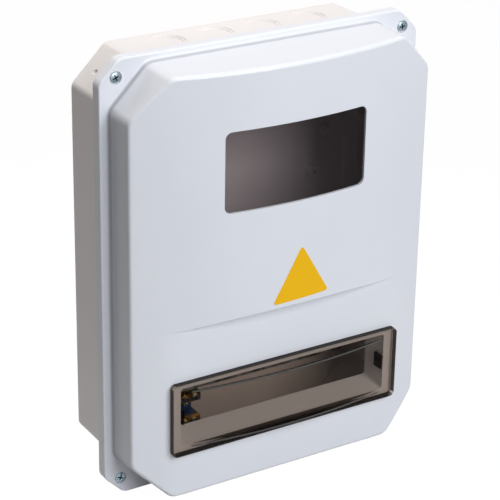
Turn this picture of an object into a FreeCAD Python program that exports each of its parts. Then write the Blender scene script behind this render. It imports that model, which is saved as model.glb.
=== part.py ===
"""Electric meter box for a wall: a tray, a crowned cover with a meter window, and a clip-in breaker lid.

The wall is the plane y = 0, the front faces -Y and +Z is up.
A depth is a distance from the wall, so y = -depth.
"""
import FreeCAD
import Part

import math
import os
from dataclasses import dataclass

Vec = FreeCAD.Vector

# Cover flange and skirt
cover_width = 330.0
cover_height = 420.0
cover_chamfer = 20.0
cover_round = 12.0
cover_wall = 2.6
cover_edge_round = 1.5
flange_depth = 71.0
skirt_depth = 10.6
skirt_wall = 2.4

# Raised front of the cover, set in from the flange's edge
flange_strip_x = 8.5
flange_strip_z = 7.0
raised_chamfer = 37.0
raised_round = 14.0
raised_draft_deg = 1.5
crown_rise = 60.0
crown_radius = 474.0
panel_rise = 45.0
panel_bend = 90.0
brow_over_tunnel = 93.3
brow_slope_deg = 25.0
face_round = 4.0
cove_radius = 3.5
weld_tolerance = 0.0005

# Back box, set in from the foot of the raised front
box_inset_x = 2.0
box_inset_z = 1.5
box_chamfer = 33.5
box_round = 9.0
box_wall = 2.8
box_floor = 3.0
box_draft_deg = 1.0

# Rim of the back box, under the flange of the cover
rim_thickness = 3.0
rim_gap = 0.6
ear_radius = 6.5
ear_length = 5.4

# Holes for the wall screws, from the edges of the back wall
wall_hole_edge_x = 19.5
wall_hole_edge_z = 61.5
wall_hole_radius = 3.0

# Cable knockouts in the top and bottom walls, each sunk in two steps
knockout_count = 4
knockout_pitch = 49.0
knockout_radius = 17.3
knockout_ring = 3.0
knockout_step = 0.6
knockout_depth = 26.0

# Dimples in the upper corner walls, below the middle of each
dimple_radius = 3.4
dimple_sink = 1.7
dimple_slide = 4.2
dimple_depth = 19.0

# Bosses for the meter on the back wall, below the window
boss_radius = 5.5
boss_height = 8.0
boss_bore_radius = 1.6
lower_boss_spacing = 194.0
lower_boss_drop = 70.3
upper_boss_spacing = 224.0
upper_boss_drop = 32.3

# Stiffening ribs on the back wall
rib_edge = 20.5
rib_thickness = 2.0
rib_height = 6.0
rib_length = 60.0

# Seal between flange and rim
gasket_thickness = 2.4
gasket_outside = 2.0
gasket_inside = 1.4
gasket_rib = 1.5
gasket_rib_gap = 0.3
gasket_rib_short = 0.6

# Cover screws and the washers that hold them
screw_edge = 16.5
screw_radius = 2.0
screw_tip_gap = 0.4
screw_fit = 0.06
screw_head_radius = 4.6
screw_head_height = 2.3
screw_recess_radius = 5.8
screw_recess_depth = 2.2
screw_pad_radius = 7.0
screw_pad_gap = 0.2
cross_length = 5.0
cross_width = 1.0
cross_depth = 1.2
retainer_radius = 3.9
retainer_thickness = 1.2
retainer_pocket_gap = 0.4

# Meter window, from the top of the cover
window_width = 146.0
window_height = 75.0
window_drop = 99.7
window_round = 6.5
pane_margin = 10.0
pane_thickness = 2.0
pane_gap = 0.3
stake_radius = 1.6
stake_fit = 0.4
stake_head_radius = 3.0
stake_head_height = 1.2
stake_rise = 25.0

# Breaker tunnel in the cover, from the bottom of the cover
tunnel_lift = 89.7
tunnel_back_width = 216.0
tunnel_back_height = 46.0
tunnel_flare_x = 3.0
tunnel_flare_z = 6.0
tunnel_length = 25.0
tunnel_wall = 2.0
tunnel_round = 3.0
clip_slot_height = 16.0
clip_slot_length = 8.0
clip_slot_setback = 2.5

# Breaker lid, around the tunnel's mouth
lid_overlap_x = 10.75
lid_overlap_z = 7.35
lid_round = 5.0
lid_skin = 2.0
lid_proud = 6.5
lid_gap = 0.3
lid_edge_round = 1.4
bow_inset_x = 1.0
bow_inset_z = 0.75
bow_bulge = 10.0
clip_width = 14.0
clip_thickness = 1.8
clip_length = 10.0
clip_gap = 0.3
clip_barb = 1.0

# Rail for the breakers
rail_spare = 5.0
rail_height = 35.0
rail_depth = 7.5
rail_channel = 27.0
rail_sheet = 1.0
rail_to_tunnel = 46.0
rail_slot_pitch = 25.0
rail_slot_count = 9
rail_slot_length = 15.0
rail_slot_width = 6.2

# Rail brackets
bracket_sheet = 1.5
bracket_bend = 1.5
bracket_width = 25.0
bracket_arm = 20.0
bracket_foot = 20.0
bracket_pad_height = 4.0
bracket_pad_radius = 6.0

# Terminal bars, from the left and bottom walls of the back box
bar_length = 80.0
bar_height = 9.0
bar_thickness = 6.0
bar_from_side = 36.5
earth_lift = 44.5
neutral_lift = 18.5
terminal_count = 7
terminal_bore_radius = 2.4
terminal_screw_radius = 2.0
terminal_head_radius = 2.9
terminal_head_height = 2.6
terminal_slot = 0.8

# Insulating feet of the terminal bars
holder_length = 12.0
holder_post = 10.0
holder_post_height = 15.0
holder_foot_height = 3.0
holder_foot_reach = 12.0

# Small screws inside the box
small_screw_radius = 1.6
small_screw_fit = 0.06
small_head_radius = 3.6
small_head_height = 2.2
small_pilot_floor = 1.2
small_tip_gap = 0.3

# Sizes that follow from those above
raised_width = cover_width - 2 * flange_strip_x
raised_height = cover_height - 2 * flange_strip_z
box_width = raised_width - 2 * box_inset_x
box_height = raised_height - 2 * box_inset_z
tunnel_mouth_width = tunnel_back_width + 2 * tunnel_flare_x
tunnel_mouth_height = tunnel_back_height + 2 * tunnel_flare_z
lid_width = tunnel_mouth_width + 2 * lid_overlap_x
lid_height = tunnel_mouth_height + 2 * lid_overlap_z
bow_width = tunnel_mouth_width - 2 * bow_inset_x
bow_height = tunnel_mouth_height - 2 * bow_inset_z
rail_length = tunnel_back_width + 2 * rail_spare

# Heights that follow
window_z = cover_height / 2 - window_drop
tunnel_z = tunnel_lift - cover_height / 2
brow_z = tunnel_z + brow_over_tunnel
lower_boss_z = window_z - lower_boss_drop
upper_boss_z = window_z - upper_boss_drop
bar_left = bar_from_side - box_width / 2
earth_z = earth_lift - box_height / 2
neutral_z = neutral_lift - box_height / 2

# Depths that follow
flange_back = flange_depth - cover_wall
rim_front = flange_back - gasket_thickness
crown_depth = flange_depth + crown_rise
panel_depth = flange_depth + panel_rise
tunnel_back = panel_depth - tunnel_length
pane_front_radius = crown_radius - cover_wall - pane_gap
pane_back_radius = pane_front_radius - pane_thickness
crown_axis_y = crown_radius - crown_depth
rail_front = tunnel_back - rail_to_tunnel
rail_back = rail_front - rail_depth
pad_top = box_floor + bracket_pad_height
bar_back = pad_top + holder_post_height
beyond = 1.0


@dataclass(frozen=True)
class Outline:
    """Upright rectangle with 45 degree corners, rounded where the sides meet."""

    width: float
    height: float
    chamfer: float
    rounding: float

    def inset(self, amount):
        """The outline moved inwards by an amount, or outwards by a negative one."""
        shorter = amount * (2 - math.sqrt(2))
        return Outline(self.width - 2 * amount, self.height - 2 * amount,
                       self.chamfer - shorter, self.rounding - amount)

    def wire(self, depth):
        """The outline as a closed wire at one depth."""
        a = self.width / 2
        b = self.height / 2
        c = self.chamfer
        corners = [(a, b - c), (a - c, b), (c - a, b), (-a, b - c),
                   (-a, c - b), (c - a, -b), (a - c, -b), (a, c - b)]
        return rounded_wire(corners, self.rounding, depth)

    def slab(self, depth_from, depth_to):
        """The outline as a solid between two depths."""
        return Part.Face(self.wire(depth_from)).extrude(Vec(0, depth_from - depth_to, 0))


def soft_wire(corners, radii):
    """Closed wire through corners, each rounded by its own radius or left sharp by a zero."""
    arcs = []
    for i, corner in enumerate(corners):
        back = (corners[i - 1] - corner).normalize()
        ahead = (corners[(i + 1) % len(corners)] - corner).normalize()
        half = back.getAngle(ahead) / 2
        reach = radii[i] / math.tan(half)
        middle = corner + (back + ahead).normalize() * (radii[i] / math.sin(half) - radii[i])
        arcs.append((corner + back * reach, middle, corner + ahead * reach))
    edges = []
    for i, (start, middle, end) in enumerate(arcs):
        if radii[i] > 0:
            edges.append(Part.Arc(start, middle, end).toShape())
        edges.append(Part.LineSegment(end, arcs[(i + 1) % len(arcs)][0]).toShape())
    return Part.Wire(edges)


def rounded_wire(points, radius, depth):
    """Closed wire through (x, z) points at one depth, with every corner rounded alike."""
    return soft_wire([Vec(x, -depth, z) for x, z in points], [radius] * len(points))


def rectangle(width, height, z, radius, depth):
    """Rounded rectangle about x = 0 as a wire at one depth."""
    a = width / 2
    b = height / 2
    return rounded_wire([(a, z - b), (a, z + b), (-a, z + b), (-a, z - b)], radius, depth)


def plate(width, height, z, radius, depth_from, depth_to):
    """Rounded rectangular plate about x = 0 between two depths."""
    wire = rectangle(width, height, z, radius, depth_from)
    return Part.Face(wire).extrude(Vec(0, depth_from - depth_to, 0))


def block(x_from, x_to, depth_from, depth_to, z_from, z_to):
    """Box between two corners."""
    return Part.makeBox(x_to - x_from, depth_to - depth_from, z_to - z_from, Vec(x_from, -depth_to, z_from))


def rod(x, z, radius, depth_from, depth_to):
    """Cylinder that points to the front."""
    return Part.makeCylinder(radius, depth_to - depth_from, Vec(x, -depth_from, z), Vec(0, -1, 0))


def pillar(x, depth, radius, z_from, z_to):
    """Upright cylinder."""
    return Part.makeCylinder(radius, z_to - z_from, Vec(x, -depth, z_from), Vec(0, 0, 1))


def extruded(points, x_from, x_to):
    """Profile of (depth, z) points, drawn along X."""
    corners = [Vec(x_from, -depth, z) for depth, z in points]
    return Part.Face(Part.makePolygon(corners + corners[:1])).extrude(Vec(x_to - x_from, 0, 0))


def drafted(outline, reference, draft_deg, depth_from, depth_to):
    """Solid with drafted walls, whose outline is given at a reference depth."""
    slope = math.tan(math.radians(draft_deg))
    ends = [outline.inset(slope * (depth - reference)).wire(depth) for depth in (depth_from, depth_to)]
    return Part.makeLoft(ends, True, True)


def four_corners(spacing_x, spacing_z):
    """Points of a rectangular pattern about the origin."""
    return [(sx * spacing_x / 2, sz * spacing_z / 2) for sx in (-1, 1) for sz in (-1, 1)]


def save(name, shape):
    """Write one node and report what it holds."""
    solids = shape.Solids
    print(name, len(solids), "solids", round(sum(s.Volume for s in solids) / 1000, 2), "cm3", shape.isValid())
    shape.exportStep("parts/" + name + ".step")


box_outline = Outline(box_width, box_height, box_chamfer, box_round)
cover_outline = Outline(cover_width, cover_height, cover_chamfer, cover_round)
raised_outline = Outline(raised_width, raised_height, raised_chamfer, raised_round)
rim_outline = cover_outline.inset(skirt_wall + rim_gap)
mouth_outline = box_outline.inset(-rim_front * math.tan(math.radians(box_draft_deg)))
screw_points = four_corners(cover_width - 2 * screw_edge, cover_height - 2 * screw_edge)
wall_hole_points = four_corners(box_width - 2 * wall_hole_edge_x, box_height - 2 * wall_hole_edge_z)
rail_screw_x = rail_slot_pitch * (rail_slot_count - 3) / 2
bracket_riser_x = rail_screw_x + bracket_arm / 2
bracket_screw_x = bracket_riser_x + bracket_foot / 2
holder_xs = [bar_left, bar_left + bar_length - holder_length]


def crown_block(inset):
    """Everything behind the crowned face, or behind its inner wall."""
    return Part.makeCylinder(crown_radius - inset, 2 * cover_height,
                             Vec(0, crown_axis_y, -cover_height), Vec(0, 0, 1))


def under_brow(lift, back):
    """Space below the sloping underside of the brow, in front of one depth."""
    slope = math.radians(brow_slope_deg)
    front = crown_depth + crown_rise
    brow = brow_z + lift / math.cos(slope)
    low = brow + (back - crown_depth) * math.tan(slope)
    high = brow + (front - crown_depth) * math.tan(slope)
    profile = [(back, low), (front, high), (front, -cover_height), (back, -cover_height)]
    return extruded(profile, -cover_width, cover_width)


def below_brow():
    """Everything below the brow."""
    return under_brow(0, 0)


def panel_cut(inset):
    """Space in front of the flat lower panel, or in front of its inner wall."""
    return under_brow(inset, panel_depth - inset)


def crowned_block(inset, depth_from):
    """Drafted walls from one depth up to the crowned face or its inner wall."""
    walls = drafted(raised_outline.inset(inset), flange_depth, raised_draft_deg,
                    depth_from, crown_depth + beyond)
    return walls.common(crown_block(inset))


def cover_cavity():
    """Hollow behind the raised front."""
    return crowned_block(cover_wall, flange_back - beyond).cut(panel_cut(cover_wall))


def raised_front():
    """Raised front with rounded edges: a flattened block, and a crowned one above the brow."""
    crowned = crowned_block(0, flange_back)
    flat = crowned.common(block(-cover_width, cover_width, 0, panel_depth, -cover_height, cover_height))
    flat = flat.makeFillet(panel_bend, bend_edges(flat))
    flat = flat.makeFillet(face_round, face_edges(flat))
    crowned = crowned.makeFillet(face_round, face_edges(crowned))
    return flat.fuse(crowned.cut(below_brow()), weld_tolerance).removeSplitter()


def is_front(face):
    """True for the crowned face and the flat panel."""
    u0, u1, v0, v1 = face.ParameterRange
    return face.normalAt((u0 + u1) / 2, (v0 + v1) / 2).y < -0.6


def is_wall(face):
    """True for the drafted side walls."""
    u0, u1, v0, v1 = face.ParameterRange
    return abs(face.normalAt((u0 + u1) / 2, (v0 + v1) / 2).y) < 0.2


def bend_edges(shape):
    """Upright edges where the flat panel meets the crowned face."""
    found = []
    for edge in shape.Edges:
        faces = shape.ancestorsOfType(edge, Part.Face)
        if len(faces) == 2 and all(is_front(f) for f in faces):
            found.append(edge)
    return found


def face_edges(shape):
    """Edges where the front meets the side walls."""
    found = []
    for edge in shape.Edges:
        faces = shape.ancestorsOfType(edge, Part.Face)
        if any(is_front(f) for f in faces) and any(is_wall(f) for f in faces):
            found.append(edge)
    return found


def edges_at(shape, depth, outline):
    """Edges of a shape at one depth that lie within an outline."""
    limit = outline.width / 2 + 0.01
    found = []
    for edge in shape.Edges:
        box = edge.BoundBox
        flat = abs(box.YMin + depth) < 0.01 and abs(box.YMax + depth) < 0.01
        if flat and max(abs(box.XMin), abs(box.XMax)) < limit:
            found.append(edge)
    return found


def cover_shell():
    """Skirt, flange and raised front as one thin wall."""
    flange = cover_outline.slab(flange_depth - skirt_depth, flange_depth)
    flange = flange.makeFillet(cover_edge_round, edges_at(flange, flange_depth, cover_outline))
    shell = flange.fuse(raised_front()).removeSplitter()
    shell = shell.makeFillet(cove_radius, edges_at(shell, flange_depth, raised_outline))
    skirt_space = cover_outline.inset(skirt_wall).slab(flange_depth - skirt_depth - beyond, flange_back)
    return shell.cut([cover_cavity(), skirt_space])


def tunnel_block(wall, spare):
    """Tapered block of the breaker tunnel, grown by a wall and lengthened at both ends."""
    wires = []
    for depth in (tunnel_back - spare, panel_depth + spare):
        share = (depth - tunnel_back) / tunnel_length
        width = tunnel_back_width + share * (tunnel_mouth_width - tunnel_back_width)
        height = tunnel_back_height + share * (tunnel_mouth_height - tunnel_back_height)
        wires.append(rectangle(width + 2 * wall, height + 2 * wall, tunnel_z, tunnel_round + wall, depth))
    return Part.makeLoft(wires, True, True)


def tunnel_half_width(depth):
    """Half the width of the tunnel at one depth."""
    share = (depth - tunnel_back) / tunnel_length
    return (tunnel_back_width + share * (tunnel_mouth_width - tunnel_back_width)) / 2


def crown_inside(x, radius):
    """Depth of a surface about the crown's axis at one x."""
    return math.sqrt(radius ** 2 - x ** 2) - crown_axis_y


def stake_points():
    """Places of the stakes that hold the pane, in its margins."""
    side = (window_width + pane_margin) / 2
    over = (window_height + pane_margin) / 2
    sides = [(sx * side, window_z + sz * stake_rise) for sx in (-1, 1) for sz in (-1, 1)]
    return sides + [(0.0, window_z + over), (0.0, window_z - over)]


def pane_stakes():
    """Stakes with flattened heads behind the pane."""
    stakes = []
    for x, z in stake_points():
        seat = crown_inside(abs(x) + stake_head_radius, pane_back_radius) - pane_gap
        root = crown_inside(x, crown_radius - cover_wall / 2)
        stakes.append(rod(x, z, stake_radius, seat - stake_head_height, root))
        stakes.append(rod(x, z, stake_head_radius, seat - stake_head_height, seat))
    return stakes


def front_cover():
    """Moulded cover with its window cut-out, breaker tunnel and screw seats."""
    pads = [rod(x, z, screw_pad_radius, rim_front + screw_pad_gap, flange_back) for x, z in screw_points]
    rib_outer = mouth_outline.inset(-gasket_outside - gasket_rib_gap - gasket_rib)
    rib_inner = mouth_outline.inset(-gasket_outside - gasket_rib_gap)
    rib_back = rim_front + gasket_rib_short
    rib = rib_outer.slab(rib_back, flange_back).cut(rib_inner.slab(rib_back, flange_back))
    sleeve = tunnel_block(tunnel_wall, 0)
    cover = cover_shell().fuse(pads + [rib, sleeve])
    cuts = [tunnel_block(0, beyond)]
    cuts.append(plate(window_width, window_height, window_z, window_round,
                      panel_depth - cover_wall, crown_depth + beyond))
    for x, z in screw_points:
        cuts.append(rod(x, z, screw_recess_radius, flange_depth - screw_recess_depth, flange_depth + beyond))
        cuts.append(rod(x, z, screw_radius + screw_fit, rim_front - beyond, flange_depth))
    slot_front = panel_depth - clip_slot_setback
    for side in (-1, 1):
        inner = side * (tunnel_back_width / 2 - tunnel_wall)
        outer = side * (tunnel_mouth_width / 2 + 2 * tunnel_wall)
        cuts.append(block(min(inner, outer), max(inner, outer), slot_front - clip_slot_length, slot_front,
                          tunnel_z - clip_slot_height / 2, tunnel_z + clip_slot_height / 2))
    return cover.cut(cuts).fuse(pane_stakes()).removeSplitter()


def meter_window():
    """Curved smoked pane behind the upper cut-out."""
    front = crown_block(crown_radius - pane_front_radius)
    back = crown_block(crown_radius - pane_back_radius)
    width = window_width + 2 * pane_margin
    height = window_height + 2 * pane_margin
    pane = plate(width, height, window_z, window_round, flange_depth, crown_depth).common(front.cut(back))
    holes = [rod(x, z, stake_radius + stake_fit, flange_depth, crown_depth) for x, z in stake_points()]
    return pane.cut(holes)


def bow(width, height, bulge, depth):
    """Block with a bowed front that starts at one depth."""
    ends = [Vec(-width / 2, -depth, tunnel_z - height / 2), Vec(width / 2, -depth, tunnel_z - height / 2)]
    crown = Vec(0, -depth - bulge, tunnel_z - height / 2)
    edges = [Part.Arc(ends[0], crown, ends[1]).toShape(), Part.LineSegment(ends[1], ends[0]).toShape()]
    return Part.Face(Part.Wire(edges)).extrude(Vec(0, 0, height))


def lid_clip(side):
    """Springy tongue at one end of the lid, with a barb that sits in the tunnel's slot."""
    front = panel_depth + lid_proud - lid_skin / 2
    tip = panel_depth - clip_length
    outer = tunnel_half_width(tip) - clip_gap
    barb_back = panel_depth - clip_slot_setback - clip_slot_length + clip_gap
    barb_front = barb_back + 3 * clip_barb
    profile = [(outer - clip_thickness, tip), (outer, tip), (outer, barb_back),
               (outer + clip_barb, barb_back + clip_barb), (outer, barb_front),
               (outer, front), (outer - clip_thickness, front)]
    corners = [Vec(side * x, -depth, tunnel_z - clip_width / 2) for x, depth in profile]
    return Part.Face(Part.makePolygon(corners + corners[:1])).extrude(Vec(0, 0, clip_width))


def breaker_lid():
    """Smoked lid: a flat lip with a turned-back rim and a bowed front."""
    front = panel_depth + lid_proud
    back = panel_depth + lid_gap
    lip = plate(lid_width, lid_height, tunnel_z, lid_round, back, front)
    lip = lip.makeFillet(lid_edge_round, [e for e in lip.Edges if abs(e.BoundBox.YMax + front) < 0.01])
    outside = bow(bow_width, bow_height, bow_bulge, front - lid_skin / 2)
    lid = lip.fuse(outside).removeSplitter()
    hollow = plate(lid_width - 2 * lid_skin, lid_height - 2 * lid_skin, tunnel_z, lid_round - lid_skin,
                   back - beyond, front - lid_skin)
    inside = bow(bow_width - 2 * lid_skin, bow_height - 2 * lid_skin, bow_bulge, front - 1.5 * lid_skin)
    return lid.cut([hollow, inside]).fuse([lid_clip(-1), lid_clip(1)]).removeSplitter()


def knockouts(side):
    """Stepped discs that are sunk into the top or bottom wall, square to its draft."""
    slope = math.tan(math.radians(box_draft_deg))
    wall_z = side * (box_height / 2 + knockout_depth * slope)
    out = Vec(0, slope, side).normalize()
    discs = []
    for i in range(knockout_count):
        x = (i - (knockout_count - 1) / 2) * knockout_pitch
        middle = Vec(x, -knockout_depth, wall_z)
        for radius, sink in ((knockout_radius, knockout_step),
                             (knockout_radius - knockout_ring, 2 * knockout_step)):
            discs.append(Part.makeCylinder(radius, 2 * box_wall, middle - out * sink, out))
    return discs


def dimples():
    """Small round hollows in the upper corner walls."""
    slope = math.tan(math.radians(box_draft_deg))
    along = dimple_slide / math.sqrt(2)
    out = (dimple_radius - dimple_sink) / math.sqrt(2)
    grown = dimple_depth * slope / math.sqrt(2)
    x = (box_width - box_chamfer) / 2 + along + out + grown
    z = (box_height - box_chamfer) / 2 - along + out + grown
    return [Part.makeSphere(dimple_radius, Vec(side * x, -dimple_depth, z)) for side in (-1, 1)]


def meter_bosses():
    """Places of the bosses that carry the meter."""
    lower = [(side * lower_boss_spacing / 2, lower_boss_z) for side in (-1, 1)]
    upper = [(side * upper_boss_spacing / 2, upper_boss_z) for side in (-1, 1)]
    return lower + upper


def holder_screw_points():
    """Places of the screws through the feet of both terminal bars."""
    return {z: [(x + holder_length / 2, z + holder_post / 2 + holder_foot_reach / 2) for x in holder_xs]
            for z in (earth_z, neutral_z)}


def pad_points():
    """Places of the low pads under brackets and terminal feet."""
    points = [(side * bracket_screw_x, tunnel_z) for side in (-1, 1)]
    for places in holder_screw_points().values():
        points += places
    return points


def back_box():
    """Tray with rim, screw ears, knockouts, bosses and wall holes."""
    tray = drafted(box_outline, 0, -box_draft_deg, 0, rim_front)
    ears = [rod(x, z, ear_radius, rim_front - ear_length, rim_front) for x, z in screw_points]
    ear_space = rim_outline.slab(rim_front - ear_length, rim_front)
    ears = [ear.common(ear_space) for ear in ears]
    body = tray.fuse([rim_outline.slab(rim_front - rim_thickness, rim_front)] + ears)
    inner = box_outline.inset(box_wall)
    body = body.cut(drafted(inner, 0, -box_draft_deg, box_floor, rim_front + beyond))
    bosses = [rod(x, z, boss_radius, box_floor / 2, box_floor + boss_height) for x, z in meter_bosses()]
    pads = [rod(x, z, bracket_pad_radius, box_floor / 2, pad_top) for x, z in pad_points()]
    rib_xs = [side * (box_width / 2 - rib_edge) for side in (-1, 1)]
    ribs = [block(x - rib_thickness / 2, x + rib_thickness / 2, box_floor / 2, box_floor + rib_height,
                  lower_boss_z - rib_length / 2, lower_boss_z + rib_length / 2) for x in rib_xs]
    body = body.fuse(bosses + pads + ribs)
    cuts = knockouts(1) + knockouts(-1) + dimples()
    cuts += [rod(x, z, wall_hole_radius, -beyond, box_floor + beyond)
             for x, z in wall_hole_points]
    cuts += [rod(x, z, screw_radius + screw_fit, rim_front - ear_length - beyond, rim_front + beyond)
             for x, z in screw_points]
    pocket_floor = rim_front - retainer_thickness - retainer_pocket_gap
    cuts += [rod(x, z, retainer_radius + retainer_pocket_gap, pocket_floor, rim_front + beyond)
             for x, z in screw_points]
    cuts += [rod(x, z, boss_bore_radius, box_floor, box_floor + boss_height + beyond)
             for x, z in meter_bosses()]
    cuts += [rod(x, z, small_screw_radius + small_screw_fit, small_pilot_floor, pad_top + beyond)
             for x, z in pad_points()]
    return body.cut(cuts).removeSplitter()


def cover_gasket():
    """Flat seal that follows the mouth of the tray."""
    outer = mouth_outline.inset(-gasket_outside).slab(rim_front, flange_back)
    return outer.cut(mouth_outline.inset(gasket_inside).slab(rim_front, flange_back))


def domed_head(x, z, radius, seat, top):
    """Screw head with a rounded upper edge."""
    head = rod(x, z, radius, seat, top)
    rim = [edge for edge in head.Edges if edge.Closed and abs(edge.BoundBox.YMax + top) < 0.01]
    return head.makeFillet((top - seat) / 2, rim)


def cover_screw(x, z):
    """Cross-head screw in its recess."""
    seat = flange_depth - screw_recess_depth
    top = seat + screw_head_height
    head = domed_head(x, z, screw_head_radius, seat, top)
    screw = head.fuse(rod(x, z, screw_radius, rim_front - ear_length + screw_tip_gap, seat)).removeSplitter()
    half = cross_length / 2
    thin = cross_width / 2
    bars = [block(x - half, x + half, top - cross_depth, top + beyond, z - thin, z + thin),
            block(x - thin, x + thin, top - cross_depth, top + beyond, z - half, z + half)]
    return screw.cut(bars)


def screw_retainer(x, z):
    """Washer on a cover screw, in the pocket of its ear."""
    ring = rod(x, z, retainer_radius, rim_front - retainer_thickness, rim_front)
    return ring.cut(rod(x, z, screw_radius + screw_fit, rim_front - retainer_thickness, rim_front))


def small_screw(x, z, seat, tip):
    """Round-headed screw inside the box."""
    top = seat + small_head_height
    head = domed_head(x, z, small_head_radius, seat, top)
    screw = head.fuse(rod(x, z, small_screw_radius, tip, seat)).removeSplitter()
    return screw.cut(block(x - small_head_radius, x + small_head_radius, top - terminal_slot, top + beyond,
                           z - terminal_slot / 2, z + terminal_slot / 2))


def din_rail():
    """Slotted top-hat rail."""
    half = rail_height / 2
    channel = rail_channel / 2
    thin = rail_sheet
    upper = [(rail_front, half), (rail_front, channel - thin), (rail_back + thin, channel - thin)]
    lower = [(depth, -z) for depth, z in reversed(upper)]
    outside = [(rail_front - thin, -half), (rail_front - thin, -channel), (rail_back, -channel)]
    profile = upper + lower + outside + [(depth, -z) for depth, z in reversed(outside)]
    rail = extruded([(depth, tunnel_z + z) for depth, z in profile], -rail_length / 2, rail_length / 2)
    slots = []
    for i in range(rail_slot_count):
        x = (i - (rail_slot_count - 1) / 2) * rail_slot_pitch
        slots.append(rail_slot(x))
    return rail.cut(slots)


def rail_slot(x):
    """Long slot through the rail's web."""
    a = rail_slot_length / 2
    b = rail_slot_width / 2
    points = [(x + a, tunnel_z - b), (x + a, tunnel_z + b), (x - a, tunnel_z + b), (x - a, tunnel_z - b)]
    wire = rounded_wire(points, b - 0.01, rail_back - beyond)
    return Part.Face(wire).extrude(Vec(0, -rail_sheet - 2 * beyond, 0))


def rail_bracket(side):
    """Bent strip from a pad on the back wall to the rail."""
    sheet = bracket_sheet
    x = bracket_riser_x
    hollow = bracket_bend
    outside = bracket_bend + sheet
    profile = [(x + bracket_foot, pad_top, 0), (x + bracket_foot, pad_top + sheet, 0),
               (x + sheet, pad_top + sheet, hollow), (x + sheet, rail_back, outside),
               (x - bracket_arm, rail_back, 0), (x - bracket_arm, rail_back - sheet, 0),
               (x, rail_back - sheet, hollow), (x, pad_top, outside)]
    corners = [Vec(side * a, -depth, tunnel_z - bracket_width / 2) for a, depth, radius in profile]
    wire = soft_wire(corners, [radius for a, depth, radius in profile])
    strip = Part.Face(wire).extrude(Vec(0, 0, bracket_width))
    holes = [rod(side * bracket_screw_x, tunnel_z, small_screw_radius + small_screw_fit, 0, rail_front),
             rod(side * rail_screw_x, tunnel_z, small_screw_radius + small_screw_fit, 0, rail_front)]
    return strip.cut(holes)


def terminal_xs():
    """Places of the terminals along a bar, between its feet."""
    first = bar_left + holder_length
    step = (bar_length - 2 * holder_length) / terminal_count
    return [first + (i + 0.5) * step for i in range(terminal_count)]


def terminal_bar(z):
    """Brass bar with cross bores for the wires."""
    front = bar_back + bar_thickness
    bar = block(bar_left, bar_left + bar_length, bar_back, front, z - bar_height / 2, z + bar_height / 2)
    middle = bar_back + bar_thickness / 2
    bores = [pillar(x, middle, terminal_bore_radius, z - bar_height, z + bar_height) for x in terminal_xs()]
    bores += [rod(x, z, terminal_screw_radius + small_screw_fit, middle, front + beyond)
              for x in terminal_xs()]
    bores += [rod(x + holder_length / 2, z, small_screw_radius + small_screw_fit, 0, front + beyond)
              for x in holder_xs]
    return bar.cut(bores)


def terminal_screws(z):
    """Wire screws of a bar, and the two that hold it on its feet."""
    front = bar_back + bar_thickness
    screws = []
    for x in terminal_xs():
        top = front + terminal_head_height
        screw = rod(x, z, terminal_head_radius, front, top)
        shank = rod(x, z, terminal_screw_radius, bar_back + bar_thickness / 2, front)
        screw = screw.fuse(shank).removeSplitter()
        slot = block(x - terminal_head_radius, x + terminal_head_radius, top - terminal_slot, top + beyond,
                     z - terminal_slot / 2, z + terminal_slot / 2)
        screws.append(screw.cut(slot))
    for x in holder_xs:
        screws.append(small_screw(x + holder_length / 2, z, front, pad_top + holder_foot_height))
    return Part.makeCompound(screws)


def bar_holders(z):
    """Insulating feet under both ends of a bar."""
    low = z - holder_post / 2
    high = z + holder_post / 2
    toe = high + holder_foot_reach
    profile = [(pad_top, low), (bar_back, low), (bar_back, high), (pad_top + holder_foot_height, high),
               (pad_top + holder_foot_height, toe), (pad_top, toe)]
    feet = []
    for x, (screw_x, screw_z) in zip(holder_xs, holder_screw_points()[z]):
        foot = extruded(profile, x, x + holder_length)
        bore_radius = small_screw_radius + small_screw_fit
        bore = rod(screw_x, z, bore_radius, pad_top + holder_foot_height / 2, bar_back + beyond)
        feet.append(foot.cut([bore, rod(screw_x, screw_z, bore_radius, 0, bar_back)]))
    return Part.makeCompound(feet)


def holder_screws(z):
    """Screws through the feet of one bar."""
    tip = small_pilot_floor + small_tip_gap
    return Part.makeCompound([small_screw(x, screw_z, pad_top + holder_foot_height, tip)
                              for x, screw_z in holder_screw_points()[z]])


def bracket_screws():
    """Screws of the rail brackets."""
    tip = small_pilot_floor + small_tip_gap
    return Part.makeCompound([small_screw(side * bracket_screw_x, tunnel_z, pad_top + bracket_sheet, tip)
                              for side in (-1, 1)])


def rail_screws():
    """Screws of the rail."""
    tip = rail_back - 3 * bracket_sheet
    return Part.makeCompound([small_screw(side * rail_screw_x, tunnel_z, rail_back + rail_sheet, tip)
                              for side in (-1, 1)])


def main():
    """Build every node and write it."""
    os.makedirs("parts", exist_ok=True)
    save("back_box", back_box())
    save("front_cover", front_cover())
    save("cover_gasket", cover_gasket())
    save("meter_window", meter_window())
    save("breaker_lid", breaker_lid())
    save("cover_screws", Part.makeCompound([cover_screw(x, z) for x, z in screw_points]))
    save("screw_retainers", Part.makeCompound([screw_retainer(x, z) for x, z in screw_points]))
    save("din_rail", din_rail())
    save("rail_bracket_left", rail_bracket(-1))
    save("rail_bracket_right", rail_bracket(1))
    save("bracket_screws", bracket_screws())
    save("rail_screws", rail_screws())
    for name, z in (("earth", earth_z), ("neutral", neutral_z)):
        save(name + "_bar", terminal_bar(z))
        save(name + "_bar_screws", terminal_screws(z))
        save(name + "_holders", bar_holders(z))
        save(name + "_holder_screws", holder_screws(z))


main()
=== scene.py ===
"""Looks of a wall-mounted electric meter box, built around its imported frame.

Lengths are in metres in the frame of the part, unless a name ends in mm. The wall is y = 0, the front faces
-Y and +Z is up.
"""
from __future__ import annotations

import logging
import math
from collections.abc import Mapping, Sequence
from dataclasses import dataclass
from enum import Enum

import bmesh
import bpy
from mathutils import Matrix, Vector

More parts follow.
